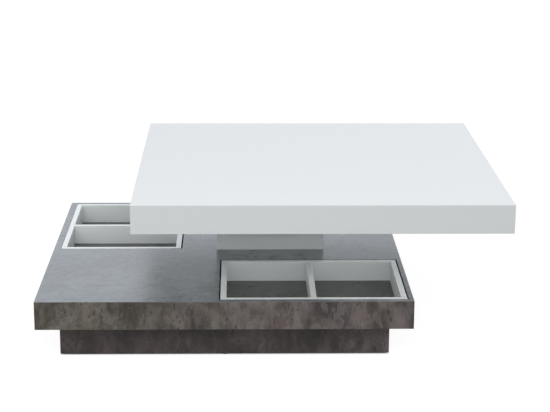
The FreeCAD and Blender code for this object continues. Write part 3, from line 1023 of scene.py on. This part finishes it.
def add_piece(name: str, shape: Surface, body: Body, finish: Finish, node: str,
              smooth_angle: float = 40.0) -> None:
    """Makes a piece of its own from a surface.

    Args:
        name: of the piece.
        shape: its surface, already in place.
        body: CAD body that it rides on.
        finish: what covers it.
        node: CAD node that it is shown in place of.
        smooth_angle: faces that meet at less than this many degrees are shaded as one.
    """
    mesh = bpy.data.meshes.new(name)
    mesh.from_pydata((shape.points * MM).tolist(), [], shape.quads.tolist() + shape.fans.tolist())
    mesh.update()
    mesh.shade_smooth()
    mesh.set_sharp_from_angle(angle=math.radians(smooth_angle))
    mesh.materials.append(finish.material())
    piece = add_object(name, mesh)
    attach(piece, body.value)
    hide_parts(node)
    LOG.info("%s: %d faces, %s", name, len(mesh.polygons), finish.name)


@dataclass(frozen=True)
class Dowel:
    """Fluted wooden dowel that sits in two boards, `in_face` of it in the first."""

    radius: float
    length: float
    in_face: float
    chamfer: float = 0.8
    flutes: int = 10
    flute_depth: float = 0.22
    run_out: float = 1.0
    columns_a_flute: int = 6

    def shape(self) -> Surface:
        """Rings with radius R - d |cos(n t / 2)|^8 between two plain chamfers, along +Z.

        Returns:
            The closed surface.
        """
        columns = self.columns_a_flute * self.flutes
        t = np.linspace(0, TURN, columns, endpoint=False)
        fluted = self.radius - self.flute_depth * np.abs(np.cos(self.flutes * t / 2)) ** 8
        plain, tip = np.full(columns, self.radius), np.full(columns, self.radius - self.chamfer)
        low, high = self.chamfer, self.length - self.chamfer
        z = np.array([0, low, low + self.run_out, high - self.run_out, high, self.length])
        return closed_tube(swept_round(np.stack([tip, plain, fluted, fluted, plain, tip]), z[:, None]))

    def across(self, joints: list[Place]) -> Surface:
        """Dowels across joints, each given by a point on its plane and a direction."""
        starts = [np.array(point) - self.in_face * np.array(axis) for point, axis in joints]
        return self.shape().repeated([(start, axis) for start, (_, axis) in zip(starts, joints)])


@dataclass
class Screw:
    """Countersunk screw with a cross recess, along +Z from its face."""

    length: float
    head: float = 4.0
    rim: float = 3.88
    dome: float = 0.0
    edge: float = 0.15
    neck: float = 1.64
    neck_end: float = 6.0
    recess: CrossRecess = CrossRecess(arm=2.3, width=1.1, depth=1.5)
    thread: Thread = Thread(crest=2.0, root=1.36, pitch=1.8, taper=4.0)
    run_in: float = 0.2
    columns: int = 40

    def face(self) -> Array:
        """Flat driven face."""
        return self.recess.face(self.head, self.rim, self.dome, self.columns)

    def outline(self) -> list[Pair]:
        """Edge, cone at 45 degrees and plain neck."""
        cone = self.head - self.neck
        return [(self.head, self.edge), (self.neck, self.edge + cone), (self.neck, self.neck_end)]

    def shape(self) -> Surface:
        """Face, outline and thread down to a point, one after another.

        Returns:
            The closed surface.
        """
        neck = profile_rings(self.outline(), self.columns)
        thread = self.thread.rings(self.neck_end + self.run_in, self.length, self.columns)
        return closed_tube(np.concatenate([self.face(), neck, thread]))


@dataclass
class PanScrew(Screw):
    """Screw with a low domed head that rests on a plate, along +Z from its seat."""

    head_height: float = 2.2
    rim: float = 3.76
    dome: float = 0.99
    edge: float = 0.924
    neck: float = 1.8
    neck_end: float = 1.4
    recess: CrossRecess = CrossRecess(arm=2.2, width=1.0, depth=1.1)
    thread: Thread = Thread(crest=2.0, root=1.4, pitch=1.6, taper=4.0)
    run_in: float = 0.1

    def face(self) -> Array:
        """Domed driven face that ends the head."""
        return super().face() + (0, 0, self.dome - self.head_height)

    def outline(self) -> list[Pair]:
        """Upright edge, flat underside and plain neck."""
        return [(self.head, -self.edge), (self.head, 0.0), (self.neck, 0.0), (self.neck, self.neck_end)]


@dataclass
class FlangeBolt:
    """Hexagon bolt with a washer face, along +Z from its seat.

    The crown's outline is in shares of the flats and heights from the head's end, and the
    flange's outline goes inwards from its radius.
    """

    tip: float
    radius: float = 3.0
    end: float = 2.1
    head: float = 5.5
    head_height: float = 5.0
    crown: tuple[Pair, ...] = ((0.55, 0.25), (0.62, 0.0), (0.93, 0.0))
    bevel: float = 0.7
    collar: float = 0.3
    collar_heights: Pair = (0.2, 0.1)
    flange: float = 9.0
    flange_sheet: float = 1.6
    flange_edge: tuple[Pair, ...] = ((0.4, -0.95), (0.0, -0.7), (0.0, -0.15), (0.2, 0.0))
    thread: Thread = Thread(crest=3.0, root=2.46, pitch=1.0)
    thread_length: float = 26.0
    run_in: float = 0.2
    columns: int = 48

    def shape(self) -> Surface:
        """Dished hexagon, washer face, plain shank and thread.

        The hexagon's radius is half its width over the flats / cos of the angle to the nearest.

        Returns:
            The closed surface.
        """
        low, plain_end = -self.flange_sheet - self.head_height, self.tip - self.thread_length
        six_end, collar_level = (-self.flange_sheet - above for above in self.collar_heights)
        t = np.linspace(0, TURN, self.columns, endpoint=False)
        flats = self.head * math.cos(SIXTH / 2)
        six = flats / np.cos(np.mod(t, SIXTH) - SIXTH / 2)
        crown = [(share * flats, low + up) for share, up in self.crown]
        turned = [(self.head + self.collar, collar_level),
                  *((self.flange - inward, z) for inward, z in self.flange_edge),
                  (self.radius, 0.0), (self.radius, plain_end)]
        return closed_tube(np.concatenate([
            profile_rings(crown, self.columns),
            swept_round(np.stack([six, six]), np.array([[low + self.bevel], [six_end]])),
            profile_rings(turned, self.columns),
            self.thread.rings(plain_end + self.run_in, self.tip, self.columns),
            profile_rings([(self.end, self.tip)], self.columns)]))


@dataclass
class ThreadedInsert:
    """Bush with a coarse thread outside and a smooth bore, along +Z."""

    bore: float = 3.1
    length: float = 13.0
    chamfer: float = 0.5
    lead: float = 0.6
    thread: Thread = Thread(crest=5.5, root=4.62, pitch=2.5)
    columns: int = 40

    def shape(self) -> Surface:
        """Hoop of rings, up the thread and down the bore.

        Returns:
            The closed surface.
        """
        mouth, root = self.bore + self.chamfer, self.thread.root
        inside = [(root, self.length), (mouth, self.length), (self.bore, self.length - self.chamfer),
                  (self.bore, self.chamfer), (mouth, 0.0)]
        return closed_hoop(np.concatenate([
            profile_rings([(root, 0.0)], self.columns),
            self.thread.rings(self.lead, self.length - self.lead, self.columns),
            profile_rings(inside, self.columns)]))


@dataclass
class Glide:
    """Domed foot with a ring groove in its sole and a barbed pin, along +Z from the floor.

    The groove and the rim are in shares of the radius and heights, and the barbs in shares of
    the pin's radius and heights over the foot.
    """

    radius: float = 7.0
    height: float = 3.0
    edge: float = 0.3
    pin: float = 1.5
    sole: tuple[float, ...] = (0.06, 0.25, 0.42)
    sole_rise: float = 0.35
    groove: tuple[Pair, ...] = ((0.50, 0.30), (0.56, 0.30), (0.62, 0.06))
    rim: tuple[Pair, ...] = ((0.80, 0.16), (0.93, 0.55), (1.0, 1.2))
    barbs: tuple[Pair, ...] = ((1.4, 0.0), (1.0, 0.4), (1.0, 1.2), (0.8, 3.0), (1.0, 3.2), (0.8, 5.0),
                               (1.0, 5.2), (0.8, 7.0), (1.0, 7.1), (0.3, 8.0))
    columns: int = 48

    def shape(self) -> Surface:
        """Turned foot whose sole rises by the fourth power of the share of its radius.

        Returns:
            The closed surface.
        """
        r, h = self.radius, self.height
        sole = [(share, self.sole_rise * share ** 4) for share in self.sole]
        foot = [(r * share, z) for share, z in (*sole, *self.groove, *self.rim)]
        pin = [(self.pin * share, h + z) for share, z in self.barbs]
        outline = [*foot, (r, h - self.edge), (r - self.edge, h), *pin]
        return closed_tube(profile_rings(outline, self.columns))


class Assembly:
    """Part of the table that adds pieces of its own and dresses its CAD nodes."""

    def build(self) -> None:
        """Adds nothing where the CAD solids have the real shapes."""

    def dress(self) -> None:
        """Puts finishes on the CAD nodes."""
        raise NotImplementedError


@dataclass
class Base(Assembly):
    """Stone-look body with aprons, deck, bottom panel and the strips that carry the deck."""

    def dress(self) -> None:
        """Puts the decor on the outer boards, a darker copy of it as painted shade on the pockets'
        floor, and raw board inside.
        """
        aprons = sides("base_apron")
        dress(STONE_APRON, *aprons, "base_pocket_rails")
        dress_tops(STONE_DECK, *aprons)
        dress(STONE_DECK, "base_deck_panel", "base_front_pocket_strip", "base_rear_pocket_strip")
        dress(STONE_FLOOR_PAINTED_SHADE, "base_bottom_panel")
        dress(CHIPBOARD, "base_core_block", "base_ribs")


@dataclass
class Plinth(Assembly):
    """Set-back foot of boards, with its dowels, corner blocks, screws and glides."""

    side: Box = Box.around("plinth_left")
    block: float = 30.0
    dowel: Dowel = Dowel(radius=4.0, length=30.0, in_face=10.0)
    screw_spacing: float = 12.0
    screw_offset: float = 8.0
    glide_inset: float = 40.0

    def build(self) -> None:
        """Adds the dowels, screws and glides."""
        board, depth, _ = self.side.size
        inner, edge, end = depth / 2 - board, (depth - board) / 2, depth / 2 - self.glide_inset
        rise = Box.around("plinth_dowels").reach(self.dowel.radius)[2]
        joints = [((sx * inner, y, self.side.middle[2] + sz * rise), (-sx, 0, 0))
                  for y in (-edge, 0.0, edge) for sx in SIGNS for sz in SIGNS]
        add_piece("plinth_fluted_dowels", self.dowel.across(joints), Body.BASE, BEECH_X,
                  "plinth_dowels")
        add_piece("plinth_level_screws", self.level_screws(inner), Body.BASE, ZINC,
                  "plinth_block_screws")
        box = Box.around("plinth_deck_screws")
        upright = Screw(box.size[2]).shape().standing(corners(inner - self.block / 2, box.low[2]))
        add_piece("plinth_upright_screws", upright, Body.BASE, ZINC, "plinth_deck_screws")
        feet = [(sx * edge, y, 0.0) for sx in SIGNS for y in (-end, 0.0, end)]
        feet += [(0.0, y, 0.0) for y in (-edge, 0.0, edge)]
        add_piece("plinth_domed_glides", Glide().shape().standing(feet), Body.BASE, NYLON,
                  "floor_glides")

    def level_screws(self, inner: float) -> Surface:
        """Two level screws in each corner block.

        Args:
            inner: inside face of the boards from the middle.

        Returns:
            The screws as one surface.
        """
        face = inner - self.block
        beside = inner - self.block / 2 + self.screw_offset
        low, high = (self.side.middle[2] + sz * self.screw_spacing / 2 for sz in SIGNS)
        places = [((sx * face, sy * beside, low), (sx, 0, 0)) for sx, sy in CORNERS]
        places += [((sx * beside, sy * face, high), (0, sy, 0)) for sx, sy in CORNERS]
        return Screw(Box.around("plinth_block_screws").high[0] - face).shape().repeated(places)

    def dress(self) -> None:
        """Puts the decor on the outer boards, darkened as painted shade and brighter to the right as
        painted light, raw board on the rail and beech on the blocks.
        """
        dress(STONE_PLINTH_PAINTED_SHADE_AND_LIGHT, *sides("plinth"))
        dress(CHIPBOARD, "plinth_cross_rail")
        dress(BEECH_Z, "plinth_corner_blocks")


@dataclass
class Tray(Assembly):
    """Loose frame of four boards and a divider, which lies lengthways or across the table."""

    body: Body
    boards: tuple[str, ...]
    dowel: Dowel = Dowel(radius=2.5, length=24.0, in_face=8.0, chamfer=0.6, flutes=8, flute_depth=0.16)

    @property
    def nodes(self) -> list[str]:
        """Names of the boards' CAD nodes."""
        return [f"{self.body.value}_{board}" for board in self.boards]

    def build(self) -> None:
        """Adds the dowels across the frame's joints."""
        box, node = Box.around(*self.nodes), f"{self.body.value}_dowels"
        board = min(Box.around(self.nodes[0]).size[:2])
        width, length = sorted(box.size[:2])
        run, span, side = length / 2 - board, width / 2 - board, (width - board) / 2
        levels = [sz * Box.around(node).reach(self.dowel.radius)[2] for sz in SIGNS]
        joints = [((sx * run, sy * side, z), (-sx, 0, 0)) for sx, sy in CORNERS for z in levels]
        joints += [((0.0, sy * span, z), (0, -sy, 0)) for sy in SIGNS for z in levels]
        wood = BEECH_X
        if box.size[1] > box.size[0]:
            joints = [((-y, x, z), (-v, u, w)) for (x, y, z), (u, v, w) in joints]
            wood = BEECH_Y
        dowels = self.dowel.across([(box.middle + point, axis) for point, axis in joints])
        add_piece(f"{self.body.value}_fluted_dowels", dowels, self.body, wood, node)

    def dress(self) -> None:
        """Puts the satin lacquer on the boards, and on their upper edges a glossier band in a brighter
        white, which is painted light.
        """
        dress(SATIN_WHITE, *self.nodes)
        dress_tops(RIM_WHITE_PAINTED_LIGHT, *self.nodes)


@dataclass
class Pedestal(Assembly):
    """Lacquered box off the base's middle, bolted down from below."""

    bolts: Box = Box.around("pedestal_bolts")
    bolt_seat: float = Box.around("base_bottom_panel").low[2]

    def build(self) -> None:
        """Adds the bolts and the threaded inserts."""
        bolt = FlangeBolt(self.bolts.high[2] - self.bolt_seat)
        offset = self.bolts.reach(bolt.flange)[0]
        bolts = bolt.shape().standing(corners(offset, self.bolt_seat, PIVOT))
        add_piece("pedestal_hex_bolts", bolts, Body.BASE, ZINC, "pedestal_bolts")
        inserts = ThreadedInsert().shape().standing(corners(offset, DECK_LEVEL, PIVOT))
        add_piece("pedestal_threaded_inserts", inserts, Body.BASE, ZINC, "pedestal_inserts")

    def dress(self) -> None:
        """Puts the gloss lacquer on the box and raw board inside it."""
        dress(PEDESTAL_WHITE, *sides("pedestal"))
        dress(CHIPBOARD, "pedestal_cap", "pedestal_foot")


@dataclass
class Swivel(Assembly):
    """Ball bearing of two pressed plates between pedestal and top."""

    sheet: float = 1.5
    race_radius: float = 58.0
    ball_count: int = 24
    ball_rows: int = 15
    ball_columns: int = 24
    pole_angle: float = 0.06

    def build(self) -> None:
        """Adds the screws and the balls."""
        low = Box.around("swivel_lower_plate").low[2] + self.sheet
        add_piece("swivel_lower_pan_screws", self.screws("swivel_lower_screws", low, DOWN),
                  Body.BASE, ZINC, "swivel_lower_screws")
        high = Box.around("swivel_upper_plate").high[2] - self.sheet
        add_piece("swivel_upper_pan_screws", self.screws("swivel_upper_screws", high, UP),
                  Body.TABLETOP, ZINC, "swivel_upper_screws")
        add_piece("swivel_bright_balls", self.balls(), Body.BALL_RING, BALL_STEEL, "swivel_balls",
                  smooth_angle=180.0)

    @staticmethod
    def screws(node: str, seat: float, axis: Triple) -> Surface:
        """Screws through a plate's four corners, as long and as far apart as a CAD node's.

        Args:
            node: name of the CAD node.
            seat: height of the face that the heads rest on.
            axis: where the screws point, up or down.

        Returns:
            The screws as one surface.
        """
        box = Box.around(node)
        screw = PanScrew(box.high[2] - seat if axis == UP else seat - box.low[2])
        return screw.shape().standing(corners(box.reach(screw.head)[0], seat, PIVOT), axis)

    def balls(self) -> Surface:
        """Ring of spheres: rows at radius R sin a and height -R cos a, for a from pole to pole.

        Returns:
            The balls as one surface.
        """
        box = Box.around("swivel_balls")
        a = np.linspace(self.pole_angle, math.pi - self.pole_angle, self.ball_rows)
        outline = box.size[2] / 2 * np.stack([np.sin(a), -np.cos(a)], -1)
        ball = closed_tube(profile_rings(outline, self.ball_columns))
        (ring,) = profile_rings([(self.race_radius, box.middle[2])], self.ball_count)
        return ball.standing(ring + (*PIVOT, 0.0))

    def dress(self) -> None:
        """Puts zinc on the plates and sleeve, and nylon on the ball cage."""
        dress(ZINC, "swivel_lower_plate", "swivel_upper_plate", "swivel_sleeve")
        dress(NYLON, "swivel_ball_cage")


@dataclass
class Tabletop(Assembly):
    """Thick lacquered slab: two skins on a frame and a paper honeycomb, with banded edges."""

    def dress(self) -> None:
        """Puts gloss lacquer outside, a darker white on the edge bands as painted shade, and raw board
        and paper inside.
        """
        dress(GLOSS_WHITE, "tabletop_top_skin")
        dress(PEDESTAL_WHITE, "tabletop_bottom_skin")
        dress(GLOSS_EDGE_PAINTED_SHADE, *sides("tabletop_edge"))
        dress(CHIPBOARD, "tabletop_swivel_block", *sides("tabletop_frame"))
        dress(KRAFT, "tabletop_honeycomb_core")


@dataclass
class Softbox:
    """Large soft lamp: place and aim in metres, power in watts."""

    name: str
    place: Triple
    aim: Triple
    size: Pair
    power: float

    def build(self) -> None:
        """Hangs the lamp, out of sight of the camera and of mirrors."""
        data = bpy.data.lights.new(self.name, "AREA")
        data.shape = "RECTANGLE"
        data.size, data.size_y = self.size
        data.energy = self.power
        lamp = add_object(self.name, data)
        lamp.location = self.place
        direction = Vector(self.aim) - Vector(self.place)
        lamp.rotation_euler = direction.to_track_quat("-Z", "Y").to_euler()
        lamp.visible_camera = lamp.visible_glossy = False


@dataclass
class Studio:
    """Plain white room: pale floor, soft sky, soft lamps and the camera."""

    sky: tuple[Pair, ...] = ((0.0, 0.92), (0.15, 1.0), (0.28, 0.96), (0.45, 0.50), (0.65, 0.32),
                             (1.0, 0.46))
    sky_tint: Colour = (0.965, 1.0, 0.995)
    sky_span: Pair = (-0.9, 0.3)
    sky_power: Pair = (0.972, 1.485)
    mirror_tint: Colour = (0.94, 0.985, 1.06)
    mirror_span: Pair = (0.35, 0.7)
    mirror_power: Pair = (1.10, 1.0)
    floor_bounce: Colour = (0.30, 0.31, 0.31)
    floor_glow: float = 0.84
    floor_white: float = 1.10
    floor_half: float = 30.0
    footprint: float = Box.around("plinth_left").size[1] / 2 * MM
    footprint_edge: Pair = (-0.008, 0.002)
    lens: float = 104.31
    sensor: float = 36.0
    sight: float = 200.0
    place: Triple = (0.02991, -3.48742, 1.17884)
    yaw: float = -1.311
    pitch: float = -15.235
    roll: float = 0.079
    lamps: tuple[Softbox, ...] = ()

    def build(self) -> None:
        """Makes the floor, the sky, the lamps and the camera."""
        self.floor()
        self.backdrop()
        for lamp in self.lamps:
            lamp.build()
        self.camera()

    @staticmethod
    def rays(graph: Graph, *kinds: Ray) -> Socket:
        """1 for rays of some kinds, and 0 for the others.

        Args:
            graph: the tree.
            kinds: of rays.

        Returns:
            The greatest of the kinds' own marks.
        """
        found: object = 0.0
        for kind in kinds:
            found = graph.combined(Maths.MAXIMUM, found, graph.made("LightPath", kind.value))
        return found

    def floor(self) -> None:
        """Level sheet, white to the eye with the table's shadow, and grey in what it throws back.

        Under the plinth it doesn't glow. From below the camera sees through it.
        """
        s = self.floor_half
        mesh = bpy.data.meshes.new("studio_floor")
        mesh.from_pydata([(-s, -s, 0), (s, -s, 0), (s, s, 0), (-s, s, 0)], [], [(0, 1, 2, 3)])
        add_object("studio_floor", mesh)
        mesh.materials.append(bpy.data.materials.new("studio_floor"))

        graph = Graph(mesh.materials[0])
        across, along = (graph.combined(Maths.ABSOLUTE, graph.part(axis)) for axis in (Axis.X, Axis.Y))
        edge = (self.footprint + beyond for beyond in self.footprint_edge)
        share = graph.spread(graph.combined(Maths.MAXIMUM, across, along), *edge,
                             to_high=self.floor_glow)
        paint = graph.made("BsdfDiffuse", 0, ("Color", WHITE))
        glow = graph.made("Emission", 0, ("Strength", self.floor_white))
        bounce = graph.made("BsdfDiffuse", 0, ("Color", self.floor_bounce))
        above = graph.blended(self.rays(graph, *Ray), bounce, graph.blended(share, paint, glow))
        behind = graph.made("NewGeometry", "Backfacing")
        below = graph.combined(Maths.MULTIPLY, self.rays(graph, Ray.CAMERA), behind)
        graph.end(graph.blended(below, above, graph.made("BsdfTransparent", 0)))

    def backdrop(self) -> None:
        """Sky: white to the eye, bluish in mirrors, and brighter low down where it lights the table."""
        world = bpy.data.worlds.new("studio_sky")
        bpy.context.scene.world = world
        graph = Graph(world, Tree.WORLD)
        height = graph.part(Axis.Z)
        glow = graph.ramp(height, *((place, scaled(self.sky_tint, level)) for place, level in self.sky))
        side = graph.spread(graph.part(Axis.X), *self.sky_span, *self.sky_power)
        fall = graph.spread(height, *self.mirror_span, *self.mirror_power)
        lit = graph.made("Background", 0, ("Color", glow), ("Strength", side))
        mirrored = graph.made("Background", 0, ("Color", self.mirror_tint), ("Strength", fall))
        white = graph.made("Background", 0, ("Color", WHITE))
        seen = graph.blended(self.rays(graph, *Ray), lit, mirrored)
        graph.end(graph.blended(self.rays(graph, Ray.CAMERA), seen, white))

    def camera(self) -> None:
        """Camera that looks along +Y, turned by yaw, then pitch, then roll about the fixed axes."""
        data = bpy.data.cameras.new("camera")
        data.sensor_fit = "HORIZONTAL"
        data.sensor_width = self.sensor
        data.lens = self.lens
        data.clip_end = self.sight
        eye = add_object("camera", data)
        turn = (Matrix.Rotation(math.radians(self.roll), 3, "Y")
                @ Matrix.Rotation(math.radians(self.pitch), 3, "X")
                @ Matrix.Rotation(math.radians(self.yaw), 3, "Z"))
        right, forward, up = turn.col
        axes = Matrix((right, up, -forward)).transposed()
        eye.matrix_world = Matrix.Translation(self.place) @ axes.to_4x4()
        bpy.context.scene.camera = eye


KEY = Softbox("front_key", place=(-0.5, -2.55, 1.81), aim=(0.0, 0.0, 0.2), size=(3.0, 0.9), power=37.0)
FILL = Softbox("right_fill", place=(1.5, 0.25, 2.2), aim=(-0.3, 0.15, 0.1), size=(1.6, 1.6), power=7.0)
FRONT_TRAY = Tray(Body.FRONT_TRAY, ("left_end", "right_end", "front_side", "back_side", "divider"))
REAR_TRAY = Tray(Body.REAR_TRAY, ("front_end", "back_end", "left_side", "right_side", "divider"))


def main() -> None:
    """Builds and dresses each sub-assembly, then sets up the studio."""
    logging.basicConfig(level=logging.INFO, format="%(name)s %(message)s")
    for assembly in (Plinth(), Base(), FRONT_TRAY, REAR_TRAY, Pedestal(), Swivel(), Tabletop()):
        LOG.info("building %s", type(assembly).__name__)
        assembly.build()
        assembly.dress()
    Studio(lamps=(KEY, FILL)).build()
    bpy.context.scene.view_settings.view_transform = "Standard"


if __name__ == "__main__":
    main()
